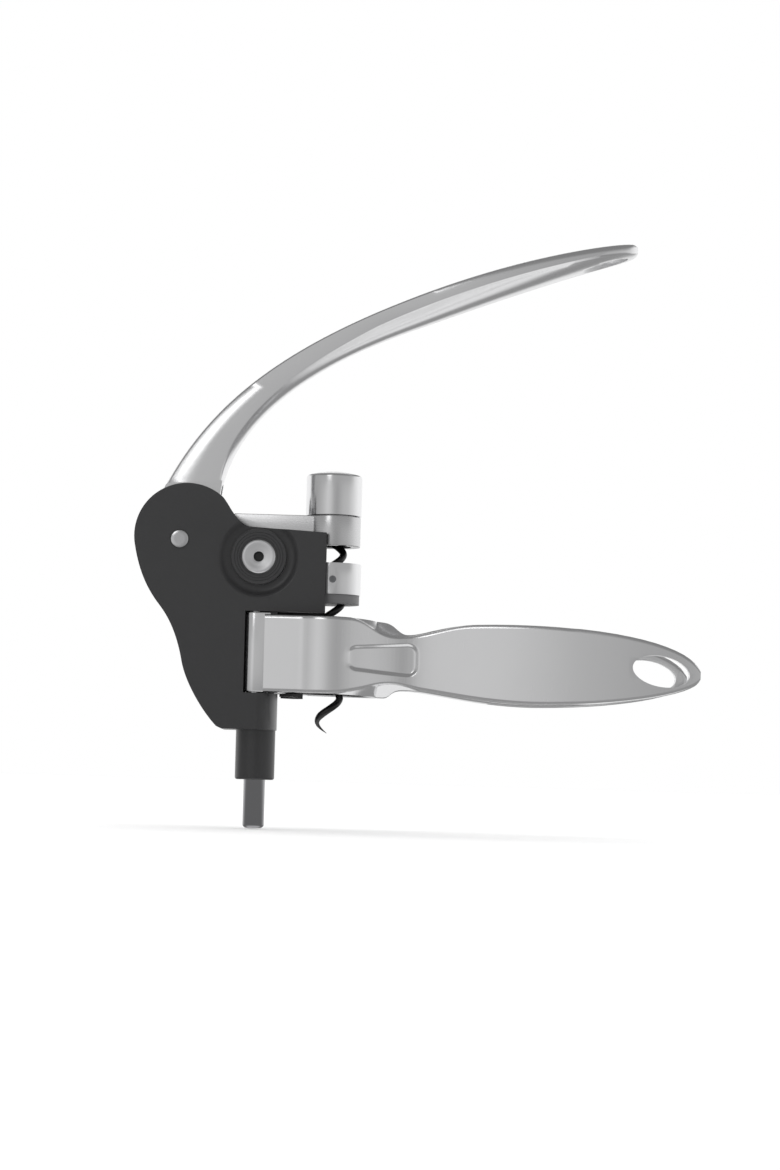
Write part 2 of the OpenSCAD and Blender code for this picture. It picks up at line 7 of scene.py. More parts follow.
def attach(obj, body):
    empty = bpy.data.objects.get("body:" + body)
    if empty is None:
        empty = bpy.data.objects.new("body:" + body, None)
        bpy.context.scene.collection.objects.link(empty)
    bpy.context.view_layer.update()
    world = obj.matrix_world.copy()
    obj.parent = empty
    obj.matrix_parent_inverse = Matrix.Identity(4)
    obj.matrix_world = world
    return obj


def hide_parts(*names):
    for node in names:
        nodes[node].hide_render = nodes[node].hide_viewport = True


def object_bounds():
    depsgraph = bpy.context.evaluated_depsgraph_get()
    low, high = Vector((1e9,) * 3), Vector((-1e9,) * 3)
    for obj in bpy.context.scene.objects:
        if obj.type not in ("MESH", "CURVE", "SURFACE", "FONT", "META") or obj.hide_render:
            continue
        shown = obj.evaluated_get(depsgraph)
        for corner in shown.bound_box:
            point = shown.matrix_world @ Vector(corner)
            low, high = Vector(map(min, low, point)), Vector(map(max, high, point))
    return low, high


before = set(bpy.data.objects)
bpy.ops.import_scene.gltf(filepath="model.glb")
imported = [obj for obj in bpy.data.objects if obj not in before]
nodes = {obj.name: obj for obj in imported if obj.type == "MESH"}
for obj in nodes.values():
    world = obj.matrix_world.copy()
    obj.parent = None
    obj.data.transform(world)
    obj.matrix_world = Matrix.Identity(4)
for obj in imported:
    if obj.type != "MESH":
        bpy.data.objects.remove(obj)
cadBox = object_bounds()
print("frame loaded,", len(nodes), "CAD nodes")

mm = 0.001                    # metres in a millimetre
mergeDistance = 0.002 * mm    # points closer than this are one
bevelAngle = 40               # degrees from which an edge counts as sharp


# Curves, all in millimetres
def bez(a, b, c, d, n):
    points = []
    for i in range(n + 1):
        t = i / n
        weights = ((1 - t) ** 3, 3 * t * (1 - t) ** 2, 3 * t * t * (1 - t), t ** 3)
        points.append(tuple(sum(w * p[k] for w, p in zip(weights, (a, b, c, d))) for k in (0, 1)))
    return points


def arc(cx, cy, r, a0, a1, n):
    angles = [math.radians(a0 + (a1 - a0) * i / n) for i in range(n + 1)]
    return [(cx + r * math.cos(a), cy + r * math.sin(a)) for a in angles]


def chain(*parts):
    # joins curves and drops the point that two of them share
    points = []
    for part in parts:
        for p in part:
            if not points or math.dist(points[-1], p) > 1e-4:
                points.append(tuple(p))
    return points


def alongCurve(points, shares):
    # points at the given shares of a curve's length
    lengths = [0.0]
    for p, q in zip(points, points[1:]):
        lengths.append(lengths[-1] + math.dist(p, q))
    found = []
    for share in shares:
        want = share * lengths[-1]
        i = max(k for k in range(len(points) - 1) if lengths[k] <= want + 1e-9)
        t = (want - lengths[i]) / (lengths[i + 1] - lengths[i])
        found.append(tuple(p + (q - p) * t for p, q in zip(points[i], points[i + 1])))
    return found


def heightAt(points, x):
    # second coordinate of a curve that runs to the right, at x
    if x <= points[0][0]:
        return points[0][1]
    for p, q in zip(points, points[1:]):
        if p[0] <= x <= q[0]:
            return p[1] + (q[1] - p[1]) * (x - p[0]) / max(q[0] - p[0], 1e-9)
    return points[-1][1]


# Modelling steps
def onlySelect(obj):
    bpy.ops.object.select_all(action="DESELECT")
    obj.select_set(True)
    bpy.context.view_layer.objects.active = obj


def closeMesh(obj):
    # merges doubles, fills open ends and turns the faces outwards
    onlySelect(obj)
    bpy.ops.object.mode_set(mode="EDIT")
    bpy.ops.mesh.select_all(action="SELECT")
    bpy.ops.mesh.remove_doubles(threshold=mergeDistance)
    bpy.ops.mesh.select_all(action="SELECT")
    bpy.ops.mesh.fill_holes(sides=0)
    bpy.ops.mesh.select_all(action="SELECT")
    bpy.ops.mesh.normals_make_consistent(inside=False)
    bpy.ops.mesh.select_all(action="DESELECT")
    bpy.ops.object.mode_set(mode="OBJECT")


def skin(name, rings):
    # a grid whose rows are laid on closed rings, one after the other
    around, rows = len(rings[0]), len(rings) - 1
    bpy.ops.mesh.primitive_grid_add(x_subdivisions=around, y_subdivisions=rows, size=1)
    obj = bpy.context.object
    obj.name = name
    for v in obj.data.vertices:
        column = round((v.co.x + 0.5) * around) % around
        v.co = Vector(rings[round((v.co.y + 0.5) * rows)][column]) * mm
    closeMesh(obj)
    return obj


def plate(name, outline, low, high, axis="y"):
    # a flat outline, extruded from low to high
    place = {"y": lambda p, h: (p[0], h, p[1]), "z": lambda p, h: (p[0], p[1], h)}[axis]
    bpy.ops.mesh.primitive_circle_add(vertices=len(outline), fill_type="NGON")
    obj = bpy.context.object
    obj.name = name
    for v, p in zip(obj.data.vertices, outline):
        v.co = Vector(place(p, low)) * mm
    lift = Vector(place((0, 0), high - low)) * mm
    bpy.ops.object.mode_set(mode="EDIT")
    bpy.ops.mesh.select_all(action="SELECT")
    bpy.ops.mesh.extrude_region_move(TRANSFORM_OT_translate={"value": lift})
    bpy.ops.object.mode_set(mode="OBJECT")
    closeMesh(obj)
    return obj


def oval(centre, axes, tilt=0.0):
    # an ellipse with its long axis turned by tilt degrees
    steps, turned = 48, math.radians(tilt)
    points = []
    for i in range(steps):
        a = 2 * math.pi * i / steps
        u, w = axes[0] * math.cos(a), axes[1] * math.sin(a)
        points.append((centre[0] + u * math.cos(turned) - w * math.sin(turned),
                       centre[1] + u * math.sin(turned) + w * math.cos(turned)))
    return points


def lathe(name, profile, x, y, z, steps, axis="z"):
    # a profile of (radius, height) turned round an axis through (x, y, z)
    rings = []
    for r, h in profile:
        ring = []
        for i in range(steps):
            a = 2 * math.pi * i / steps
            u, w = r * math.cos(a), r * math.sin(a)
            ring.append((x + u, y + w, z + h) if axis == "z" else (x + u, y + h, z + w))
        rings.append(ring)
    return skin(name, rings)


def applyModifiers(obj):
    onlySelect(obj)
    for modifier in list(obj.modifiers):
        bpy.ops.object.modifier_apply(modifier=modifier.name)


def combine(obj, tool, operation="DIFFERENCE"):
    modifier = obj.modifiers.new("combine", "BOOLEAN")
    modifier.operation = operation
    modifier.solver = "EXACT"
    modifier.object = tool
    applyModifiers(obj)
    bpy.data.objects.remove(tool, do_unlink=True)


def roundEdges(obj, width):
    modifier = obj.modifiers.new("edges", "BEVEL")
    modifier.width = width * mm
    modifier.segments = 3
    modifier.limit_method = "ANGLE"
    modifier.angle_limit = math.radians(35)
    applyModifiers(obj)
    return obj


def bevelWhere(obj, test, width, segments):
    # bevels only the sharp edges whose middle passes the test
    mesh = obj.data
    onlySelect(obj)
    bpy.ops.object.mode_set(mode="EDIT")
    bpy.ops.mesh.select_mode(type="EDGE")
    bpy.ops.mesh.select_all(action="DESELECT")
    bpy.ops.object.mode_set(mode="OBJECT")
    faces = {}
    for face in mesh.polygons:
        for key in face.edge_keys:
            faces.setdefault(key, []).append(face.normal)
    for edge in mesh.edges:
        normals = faces.get(edge.key, [])
        middle = (mesh.vertices[edge.vertices[0]].co + mesh.vertices[edge.vertices[1]].co) / 2 / mm
        sharp = len(normals) == 2 and normals[0].angle(normals[1], 0) > math.radians(bevelAngle)
        edge.select = sharp and test(middle)
    bpy.ops.object.mode_set(mode="EDIT")
    bpy.ops.mesh.bevel(offset=width * mm, segments=segments, affect="EDGES", clamp_overlap=True)
    bpy.ops.mesh.select_all(action="DESELECT")
    bpy.ops.mesh.select_mode(type="VERT")
    bpy.ops.object.mode_set(mode="OBJECT")


def copyNode(name, newName):
    # a copy of a CAD node, its flat faces joined so that its edges can be rounded
    obj = nodes[name].copy()
    obj.data = nodes[name].data.copy()
    obj.name = newName
    bpy.context.scene.collection.objects.link(obj)
    obj.data.materials.clear()
    closeMesh(obj)
    onlySelect(obj)
    bpy.ops.object.mode_set(mode="EDIT")
    bpy.ops.mesh.select_all(action="SELECT")
    bpy.ops.mesh.dissolve_limited(angle_limit=math.radians(2))
    bpy.ops.mesh.select_all(action="DESELECT")
    bpy.ops.object.mode_set(mode="OBJECT")
    return obj


def finishPiece(obj, body, material, replaced, angle=32):
    onlySelect(obj)
    bpy.ops.object.shade_smooth_by_angle(angle=math.radians(angle))
    obj.data.materials.clear()
    obj.data.materials.append(material)
    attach(obj, body)
    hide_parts(replaced)


# Materials
def linear(hexColour):
    channels = [int(hexColour[i:i + 2], 16) / 255 for i in (1, 3, 5)]
    return tuple(c / 12.92 if c <= 0.04045 else ((c + 0.055) / 1.055) ** 2.4 for c in channels) + (1.0,)


def addNode(tree, kind, inputs=None, **settings):
    made = tree.nodes.new(kind)
    for key, value in settings.items():
        setattr(made, key, value)
    for key, value in (inputs or {}).items():
        if isinstance(value, bpy.types.NodeSocket):
            tree.links.new(value, made.inputs[key])
        else:
            made.inputs[key].default_value = value
    return made


def newMaterial(name):
    material = bpy.data.materials.new(name)
    material.use_nodes = True
    tree = material.node_tree
    shader = tree.nodes["Principled BSDF"]
    return material, tree, shader


def grainedMetal(name, colour, darker, rough, grain, stretch, bump=0.2):
    # grain: lines per metre across the brushing, stretch: how much longer they are along each axis
    material, tree, shader = newMaterial(name)
    place = addNode(tree, "ShaderNodeTexCoord").outputs["Object"]
    scale = tuple(grain / s for s in stretch)
    mapped = addNode(tree, "ShaderNodeMapping", {"Vector": place, "Scale": scale}).outputs[0]
    lines = addNode(tree, "ShaderNodeTexNoise",
                    {"Vector": mapped, "Scale": 1.0, "Detail": 4.0, "Roughness": 0.65}).outputs["Fac"]
    cloud = addNode(tree, "ShaderNodeTexNoise",
                    {"Vector": place, "Scale": 60.0, "Detail": 2.0}).outputs["Fac"]
    tone = addNode(tree, "ShaderNodeMix", {0: lines, 6: linear(darker), 7: linear(colour)},
                   data_type="RGBA")
    tree.links.new(tone.outputs[2], shader.inputs["Base Color"])
    soft = addNode(tree, "ShaderNodeMapRange",
                   {"Value": lines, "From Min": 0.3, "From Max": 0.7,
                    "To Min": rough * 0.8, "To Max": rough * 1.2}).outputs[0]
    worn = addNode(tree, "ShaderNodeMapRange",
                   {"Value": cloud, "From Min": 0.35, "From Max": 0.65,
                    "To Min": 0.94, "To Max": 1.06}).outputs[0]
    uneven = addNode(tree, "ShaderNodeMath", {0: soft, 1: worn}, operation="MULTIPLY").outputs[0]
    tree.links.new(uneven, shader.inputs["Roughness"])
    shader.inputs["Metallic"].default_value = 1.0
    bumped = addNode(tree, "ShaderNodeBump", {"Height": lines, "Strength": bump, "Distance": 0.01 * mm})
    tree.links.new(bumped.outputs[0], shader.inputs["Normal"])
    return material


def fineCoat(name, colour, rough, grit, bump, sheen=0.0):
    # paint, plastic or rubber with a fine even grit, given in grains per metre
    material, tree, shader = newMaterial(name)
    place = addNode(tree, "ShaderNodeTexCoord").outputs["Object"]
    grains = addNode(tree, "ShaderNodeTexNoise",
                     {"Vector": place, "Scale": grit, "Detail": 2.0}).outputs["Fac"]
    cloud = addNode(tree, "ShaderNodeTexNoise",
                    {"Vector": place, "Scale": 45.0, "Detail": 3.0}).outputs["Fac"]
    base = linear(colour)
    lighter = tuple(c * 1.12 for c in base[:3]) + (1.0,)
    tone = addNode(tree, "ShaderNodeMix", {0: grains, 6: base, 7: lighter}, data_type="RGBA")
    tree.links.new(tone.outputs[2], shader.inputs["Base Color"])
    uneven = addNode(tree, "ShaderNodeMapRange",
                     {"Value": cloud, "From Min": 0.35, "From Max": 0.65,
                      "To Min": rough * 0.93, "To Max": rough * 1.07}).outputs[0]
    tree.links.new(uneven, shader.inputs["Roughness"])
    shader.inputs["IOR"].default_value = 1.5
    shader.inputs["Sheen Weight"].default_value = sheen
    bumped = addNode(tree, "ShaderNodeBump", {"Height": grains, "Strength": bump, "Distance": 0.02 * mm})
    tree.links.new(bumped.outputs[0], shader.inputs["Normal"])
    return material


# Powder-coated zinc casting: dark and even, with a broad soft shine
paintedZinc = fineCoat("powderCoatedZinc", "#323233", 0.32, 2600, 0.1)
# Blackened steel screws: dull with a faint sheen
blackenedSteel = grainedMetal("blackenedSteelScrews", "#3a3a3c", "#2a2a2b", 0.4, 6000, (1, 1, 1))
# Sintered bronze bushes: warm and slightly open-grained
sinteredBronze = grainedMetal("sinteredBronzeBush", "#b08c56", "#93703f", 0.38, 5000, (1, 1, 1))
# Satin nickel plate on the carriage, brushed along the arm: fine level lines, barely seen
satinArm = grainedMetal("satinNickelBrushedArm", "#dcdcdd", "#d6d6d7", 0.26, 14000, (140, 140, 1),
                        bump=0.03)
# Satin nickel plate turned on a lathe: fine rings round the axis show as level lines
satinTurned = grainedMetal("satinNickelTurned", "#f0f0f1", "#e6e6e7", 0.18, 6000, (60, 60, 1),
                           bump=0.08)
# Moulded grey nylon: soft low shine
greyNylon = fineCoat("mouldedGreyNylon", "#6f6f70", 0.4, 3000, 0.08)
# Moulded white acetal: waxy, off-white
whiteAcetal = fineCoat("mouldedWhiteAcetal", "#dedcd4", 0.35, 3000, 0.05)
# Ground steel pins: bright with a fine ring grain
steelPin = grainedMetal("groundSteelPin", "#e0e0e1", "#c8c8ca", 0.2, 8000, (1, 1, 1))
# Bead-blasted stainless rivet: matt, even, pale
blastedRivet = grainedMetal("beadBlastedRivet", "#f4f4f5", "#e4e4e6", 0.42, 5000, (1, 1, 1), bump=0.5)
# Satin chromed zinc lever: an even soft mirror with a very fine grain
brushedLever = grainedMetal("satinChromedLever", "#efeff0", "#e8e8e9", 0.22, 5000, (1, 1, 1), bump=0.04)
# Dark anodised strip let into the lever
darkInlay = grainedMetal("darkAnodisedInlay", "#6c6c6e", "#5a5a5c", 0.35, 6000, (20, 1, 20))
# Hobbed gear steel: grey with machining marks
gearSteel = grainedMetal("hobbedGearSteel", "#8f9092", "#7c7d80", 0.35, 5000, (1, 20, 1), bump=0.3)
# Polished steel rod: nearly a mirror
polishedRod = grainedMetal("polishedSteelRod", "#a4a4a6", "#9c9c9e", 0.07, 7000, (30, 30, 1),
                            bump=0.02)
# Non-stick coated wire: black with a smooth low gloss
coatedWire = fineCoat("nonStickBlackCoat", "#131314", 0.32, 2500, 0.06)
# Satin chromed grips, brushed across their length: short upright lines
brushedGrip = grainedMetal("satinChromedGrip", "#f2f2f3", "#e9e9ea", 0.22, 5000, (1, 1, 60), bump=0.1)
# Moulded black rubber: matt and dark
blackRubber = fineCoat("mouldedBlackRubber", "#1a1a1b", 0.62, 3500, 0.2, sheen=0.1)
print("materials made")


# Grips: jaw and long handle in one casting
grip = {
    "edge": 1.1,                    # polished bevel round the outer face
    "hinge": (-25.6, 10.4),
    "knuckle": (3.4, -13.8, 13.4),  # hinge knuckle: radius, bottom, top
    "bore": 1.55,                   # radius of the hinge pin's hole
    "strapLeft": -22.3,             # where the jaw steps up from the knuckle
    "jaw": (20.2, 16.8),            # outer and inner radius round the neck
    "holeCentre": (112.0, -3.4),
    "holeAxes": (9.8, 5.2),
    "holeTilt": -10,
    "rest": (5.2, 30.1, 0.75),      # thumb rest: from, to, depth
    "restCorner": 4.0,
    "restMiddle": -1.6,
    "restHalf": (4.0, 6.0),         # half height at its left and right end
    "faceRows": 80,
    "scoopSteps": 7,
}
paddleTop = bez((47.3, 10.9), (82.4, 12.3), (119.4, 8.1), (125.6, -3.2), 48)
paddleLow = bez((68.8, -15.9), (94.1, -15.9), (125.3, -11.4), (125.6, -5.2), 48)
# edge of the outer face, above and below
gripTop = chain([(-30, 12.6), (-20, 12.6)], bez((-20, 12.6), (-8, 12.5), (2, 12.4), (7, 12.1), 8),
                bez((7, 12.1), (12.5, 11.3), (15.5, 6.3), (22.5, 6.1), 12),
                bez((22.5, 6.1), (26, 6.0), (28, 6.9), (31, 7.4), 8),
                bez((31, 7.4), (36, 8.4), (40, 10.2), (47.3, 10.9), 10), paddleTop)
gripLow = chain([(-30, -13.8), (-20, -13.8), (0, -13.9)],
                bez((0, -13.9), (8, -14.0), (12, -10.1), (20.5, -9.7), 14),
                bez((20.5, -9.7), (25, -9.5), (27.5, -11.3), (31.6, -11.9), 8),
                bez((31.6, -11.9), (41.5, -13.2), (53.1, -15.7), (68.8, -15.9), 12), paddleLow)
# edge of the inner face, which the scoops run up to
innerTop = chain([(-30, 12.6), (-20, 12.6)], bez((-20, 12.6), (0, 12.4), (12, 12.2), (18.6, 11.2), 12),
                 bez((18.6, 11.2), (22.4, 10.6), (23.2, 7.5), (26.4, 7.15), 10),
                 bez((26.4, 7.15), (31, 6.9), (38, 9.9), (47.3, 10.9), 12), paddleTop)
innerLow = chain([(-30, -13.8), (-20, -13.8), (0, -13.9), (12, -14.2), (18.4, -14.4)],
                 bez((18.4, -14.4), (21.4, -14.4), (21.0, -11.9), (24.8, -11.7), 10),
                 bez((24.8, -11.7), (27, -11.6), (29, -11.8), (31.6, -12.0), 6),
                 bez((31.6, -12.0), (41.5, -13.2), (53.1, -15.7), (68.8, -15.9), 12), paddleLow)
# where the rings lie along each stretch: jaw, waist, paddle and tip
jawShares = [i / 26 for i in range(27)]
waistShares = [i / 90 for i in range(91)]
paddleShares = [i * 0.009 for i in range(10)] + [0.09 + 0.91 * i / 26 for i in range(27)]
tipShares = [0, 0.14, 0.28, 0.4, 0.5, 0.6, 0.69, 0.77, 0.84, 0.9, 0.94, 0.97, 0.985, 0.995, 1]
strapLeft = grip["strapLeft"]
jawOuter, jawInner = grip["jaw"]
# plan of the outer and the inner face: jaw, waist, paddle and tip
gripOuter = [
    alongCurve(chain([(strapLeft, 16.0)], arc(0, 0, jawOuter, 117, 70, 16)), jawShares),
    alongCurve(bez((6.9, 19.0), (13.0, 16.8), (18.5, 11.9), (26.5, 11.6), 16), waistShares),
    alongCurve(bez((26.5, 11.6), (37.0, 11.2), (54.0, 18.2), (84.0, 20.6), 20), paddleShares),
    alongCurve(bez((84.0, 20.6), (102.0, 22.0), (116.0, 22.3), (125.6, 20.6), 20), tipShares)]
gripInner = [
    alongCurve(chain([(strapLeft, 8.0), (-19.5, 7.1)], arc(0, 0, jawInner, 155, 68, 24)), jawShares),
    alongCurve(chain(arc(0, 0, jawInner, 68, 22, 12),
                     bez((15.98, 5.2), (18, 6.6), (22.5, 7.4), (28, 7.6), 8)), waistShares),
    alongCurve(bez((28, 7.6), (38, 7.6), (54, 14.2), (82, 16.9), 20), paddleShares),
    alongCurve(bez((82, 16.9), (92, 17.9), (104, 18.4), (125.6, 17.3), 20), tipShares)]


def ease(a, b, x):
    t = min(max((x - a) / (b - a), 0), 1)
    return t * t * (3 - 2 * t)


def restDepth(x, z):
    # a rounded pocket that fades out where it runs into the round of the jaw
    left, right, depth = grip["rest"]
    leftHalf, rightHalf = grip["restHalf"]
    corner = grip["restCorner"]
    tall = leftHalf + (rightHalf - leftHalf) * (x - left) / (right - left)
    dx = abs(x - (left + right) / 2) - ((right - left) / 2 - corner)
    dz = abs(z - grip["restMiddle"]) - (tall - corner)
    out = math.hypot(max(dx, 0), max(dz, 0)) + min(max(dx, dz), 0) - corner
    return depth * ease(0.3, -1.3, out) * ease(left - 1, left + 3, x)


def gripRing(outer, inner, side):
    thick = math.dist(outer, inner)
    across = [(q - p) / thick for p, q in zip(outer, inner)]
    x = outer[0]
    faceTop, faceLow = heightAt(gripTop, x), heightAt(gripLow, x)
    topIn, lowIn = heightAt(innerTop, inner[0]), heightAt(innerLow, inner[0])
    e = min(grip["edge"], (faceTop - faceLow) * 0.3, thick * 0.35)
    e *= 1 - 0.45 * ease(4, 14, x) * (1 - ease(24, 30, x))  # narrower along the waist

    def at(depth, z):
        return (x + across[0] * depth, side * (outer[1] + across[1] * depth), z)

    rows, steps = grip["faceRows"], grip["scoopSteps"]
    face = []
    for k in range(rows + 1):
        z = faceLow + e + (faceTop - faceLow - 2 * e) * k / rows
        face.append(at(restDepth(x, z), z))
    over, under = [], []
    for i in range(steps + 1):
        # level at the outer face, then a curve to the edge of the inner one
        depth, rise = e + (thick - 2 * e) * i / steps, 1 - math.cos(i / steps * math.pi / 2)
        over.append(at(depth, faceTop + (topIn - faceTop) * rise))
        under.insert(0, at(depth, faceLow + (lowIn - faceLow) * rise))
    return (face + [at(e * 0.3, faceTop - e * 0.3)] + over
            + [at(thick - e * 0.3, topIn - e * 0.3), at(thick, topIn - e), at(thick, lowIn + e),
               at(thick - e * 0.3, lowIn + e * 0.3)] + under + [at(e * 0.3, faceLow + e * 0.3)])


def makeGrip(name, side):
    obj = skin(name, [gripRing(o, i, side) for o, i in zip(chain(*gripOuter), chain(*gripInner))])
    hx, hy = grip["hinge"]
    r, low, high = grip["knuckle"]
    outline = chain([(-20.4, hy - r), (-20.4, hy + r)], arc(hx, hy, r, 90, 270, 24))
    block = plate("knuckle", [(x, side * y) for x, y in outline], low, high, "z")
    bevelWhere(block, lambda m: abs(m.z) > 13, 0.5, 3)  # both its ends
    combine(obj, block, "UNION")
    bore = [(0, -16), (grip["bore"], -16), (grip["bore"], 16), (0, 16)]
    combine(obj, lathe("bore", bore, hx, side * hy, 0, 32))
    (cx, cz), (ax, az) = grip["holeCentre"], grip["holeAxes"]
    hole = oval((cx, cz), (ax, az), grip["holeTilt"])
    combine(obj, plate("holeTool", hole, side * 10, side * 26))
    bevelWhere(obj, lambda m: math.hypot((m.x - cx) / (ax + 1), (m.z - cz) / (az + 1)) < 1.12, 0.7, 3)
    return obj


for name, side in (("frontGrip", -1), ("rearGrip", 1)):
    body, node = ("front_grip", "front_handle") if side < 0 else ("rear_grip", "rear_handle")
    finishPiece(makeGrip(name, side), body, brushedGrip, node)
print("grips made")


# Lever
lever = {
    "pivot": (-52.1, 37.5),
    "hub": 12.5,               # radius round the pivot
    "half": 7.5,               # half its width at the root
    "slot": 3.5,               # half the slot that takes the gear sector
    "bore": 4.0,
    "edge": 1.1,               # largest rounding along its edges
    "holeCentre": (91.0, 0.0),
    "holeAxes": (8.0, 5.5),
}
# side view: upper edge, the ridge along the side, and the keel under it
leverTop = chain(bez((-57.9, 56.0), (-43.0, 85.7), (-18.2, 103.2), (12.9, 117.1), 30),
                 bez((12.9, 117.1), (44.5, 131.0), (71.1, 138.1), (100.3, 143.2), 30), [(102.0, 142.8)])
leverRidge = chain(bez((-38.9, 58), (-36, 82), (-8, 100.5), (14.1, 112.3), 30),
                   bez((14.1, 112.3), (45, 126.6), (76, 134.6), (99.9, 139.9), 30), [(102.0, 140.6)])
leverKeel = chain(bez((-38.6, 57.2), (-33.9, 75.6), (-19.1, 95.8), (25.9, 112.9), 30),
                  bez((25.9, 112.9), (51.5, 122.9), (77.1, 132.7), (101.0, 139.8), 30), [(102.0, 140.4)])
# half its width along x, and where its rings lie
leverHalf = chain([(-80, lever["half"]), (-30, lever["half"])],
                  bez((-30, 7.5), (5, 7.6), (20, 12.6), (62, 13.6), 20),
                  bez((62, 13.6), (90, 14.2), (102.5, 11.5), (102.5, 0), 40))
leverShares = [i / 60 for i in range(58)] + [0.962, 0.972, 0.98, 0.986, 0.991, 0.995, 0.998, 1]


def makeLever():
    rings = []
    edges = [alongCurve(curve, leverShares) for curve in (leverTop, leverRidge, leverKeel)]
    for top, ridge, keel in zip(*edges):
        half = max(heightAt(leverHalf, top[0]), 1.2)
        depth = max(math.dist(top, ridge), 0.3)
        e = min(lever["edge"], depth * 0.3, half * 0.3)
        down = [(q - p) / depth for p, q in zip(top, ridge)]
        under = [q - p for p, q in zip(ridge, keel)]

        def at(y, fall=0.0, sink=0.0):
            x, z = (t + d * fall + u * sink for t, d, u in zip(top, down, under))
            return (x, y, z)

        lean = min(0.35, depth * 0.03)
        halfRing = [at(half - e - lean), at(half - lean - e * 0.3, e * 0.3), at(half - lean, e),
                    at(half - lean * 0.5, depth * 0.5 + e * 0.2),
                    at(half - 0.1, depth - e * 0.6), at(half - e * 0.5, depth),
                    at(half * 0.84, depth, 0.3), at(half * 0.66, depth, 0.68),
                    at(half * 0.42, depth, 0.92), at(half * 0.2, depth, 0.99)]
        farSide = [(x, -y, z) for x, y, z in reversed(halfRing)]
        rings.append([at(0)] + halfRing + [at(0, depth, 1)] + farSide)
    obj = skin("leverArm", rings)
    px, pz = lever["pivot"]
    half, slot = lever["half"], lever["slot"]
    cheek = chain(arc(px, pz, lever["hub"], 160, 335, 40),
                  [(-40.2, 46), (-38.4, 58), (-57.6, 56.6), (-63.0, 44)])
    for low, high in ((-half, -slot), (slot, half)):
        combine(obj, plate("cheek", cheek, low, high), "UNION")
    # the solid block where the two cheeks meet the arm
    root = [(-60.2, 51.6), (-39.4, 51.6), (-38.5, 58.4), (-57.2, 57)]
    combine(obj, plate("rootBlock", root, -half + 0.05, half - 0.05), "UNION")
    bore = [(0, -9), (lever["bore"], -9), (lever["bore"], 9), (0, 9)]
    combine(obj, lathe("bore", bore, px, 0, pz, 40, "y"))
    (cx, cy), (ax, ay) = lever["holeCentre"], lever["holeAxes"]
    combine(obj, plate("holeTool", oval((cx, cy), (ax, ay)), 120, 160, "z"))
    bevelWhere(obj, lambda m: math.hypot((m.x - cx) / (ax + 1), m.y / (ay + 1)) < 1.1 and m.z > 125, 0.6, 3)
    return obj


finishPiece(makeLever(), "lever", brushedLever, "lever_arm")
print("lever made")


# Spiral
worm = {
    "radius": 3.75,    # of the helix
    "wire": 1.25,      # radius of the wire
    "pitch": 16.5,
    "tip": -27.0, "top": 40.6,
    "taper": 6.0,      # length of the sharpened point
    "phase": 34.6,     # height at which the wire crosses to the right
    "steps": 200, "sides": 14,
}


def makeWorm():
    steps, sides = worm["steps"], worm["sides"]
    slope = math.atan(worm["pitch"] / (2 * math.pi * worm["radius"]))
    rings = []
    for i in range(steps + 1):
        z = worm["tip"] + (worm["top"] - worm["tip"]) * i / steps
        a = 2 * math.pi * (z - worm["phase"]) / worm["pitch"]
        full = min(1, 0.06 + 0.94 * (z - worm["tip"]) / worm["taper"])
        ring = []
        for j in range(sides):
            b = 2 * math.pi * j / sides
            out, up = full * worm["wire"] * math.cos(b), full * worm["wire"] * math.sin(b)
            ring.append(((worm["radius"] + out) * math.cos(a) + up * math.sin(slope) * math.sin(a),
                         (worm["radius"] + out) * math.sin(a) - up * math.sin(slope) * math.cos(a),
                         z + up * math.cos(slope)))
        rings.append(ring)
    return skin("spiral", rings)


finishPiece(makeWorm(), "spiral", coatedWire, "worm", angle=60)
print("spiral made")


# Body shells
shell = {
    "inner": 10.3, "outer": 13.3,   # faces, from the middle plane
    "rim": 0.9,                     # rounding of the outer rim
    "lobe": (-49.6, 38.6, 18),      # round of the pivot end: centre and radius
    "floor": -26.6,
    "foot": (-36.2, -24.3, 6.7),    # from, to, and how far its round end reaches on
    "wall": 3.0, "base": 2.1,       # thickness of the side wall and of the floor
    "notch": (-29.1, 13.7, -14.1),  # notch for the jaws: left, top, bottom
    "lug": (-29.5, -22.1, 6.2, 7.2),  # hinge lug: left, right, height, how near the middle plane
    "right": -2.1,                  # right edge of its upper part
    "boss": (-25.0, 32.1),
    "pivot": lever["pivot"],
    "screws": ((-48.2, 8.5), (-42.5, -9.0), (-36.4, -19.8)),
}
leftEdge = chain(bez((-67.3, 35.3), (-65.7, 26.6), (-63.1, 20.6), (-58.1, 14.5), 14),
                 bez((-58.1, 14.5), (-53.8, 9.1), (-51.6, 2.4), (-50.4, -3.7), 14),
                 bez((-50.4, -3.7), (-49.0, -11.1), (-42.9, -20.9), (-38.0, -25.8), 14))
neckEdge = bez((-38.0, 52.4), (-35.7, 50.5), (-33.0, 42.7), (-28.1, 42.4), 12)
# profile of the dish round the boss, and of the boss with its fine turned rings
dish = [(0, -1.2), (11.0, -1.2), (11.7, -1.08), (12.3, -0.85), (12.9, -0.5), (13.4, -0.2), (13.9, 0.0),
        (14.2, 0.02), (14.2, 2), (0, 2)]
boss = [(0, -2), (9.45, -2), (9.45, 1.5), (9.32, 1.82), (9.05, 1.97)]
for groove in (8.2, 7.3, 6.4):
    boss += [(groove + 0.1, 1.97), (groove, 1.87), (groove - 0.1, 1.97)]
boss += [(5.76, 1.9), (5.76, 1.2), (3.05, 1.2), (3.05, -2.5), (0, -2.5)]
pinSeat = [(0, -1), (3.15, -1), (3.15, 1), (0, 1)]
screwSeat = [(0, -2), (2.9, -2), (2.9, 1), (0, 1)]


def sideLathe(name, profile, place, side, steps):
    # turned round an axis across the body, its heights counted outwards from a shell's outer face
    outwards = [(r, side * h) for r, h in profile]
    return lathe(name, outwards, place[0], side * shell["outer"], place[1], steps, "y")


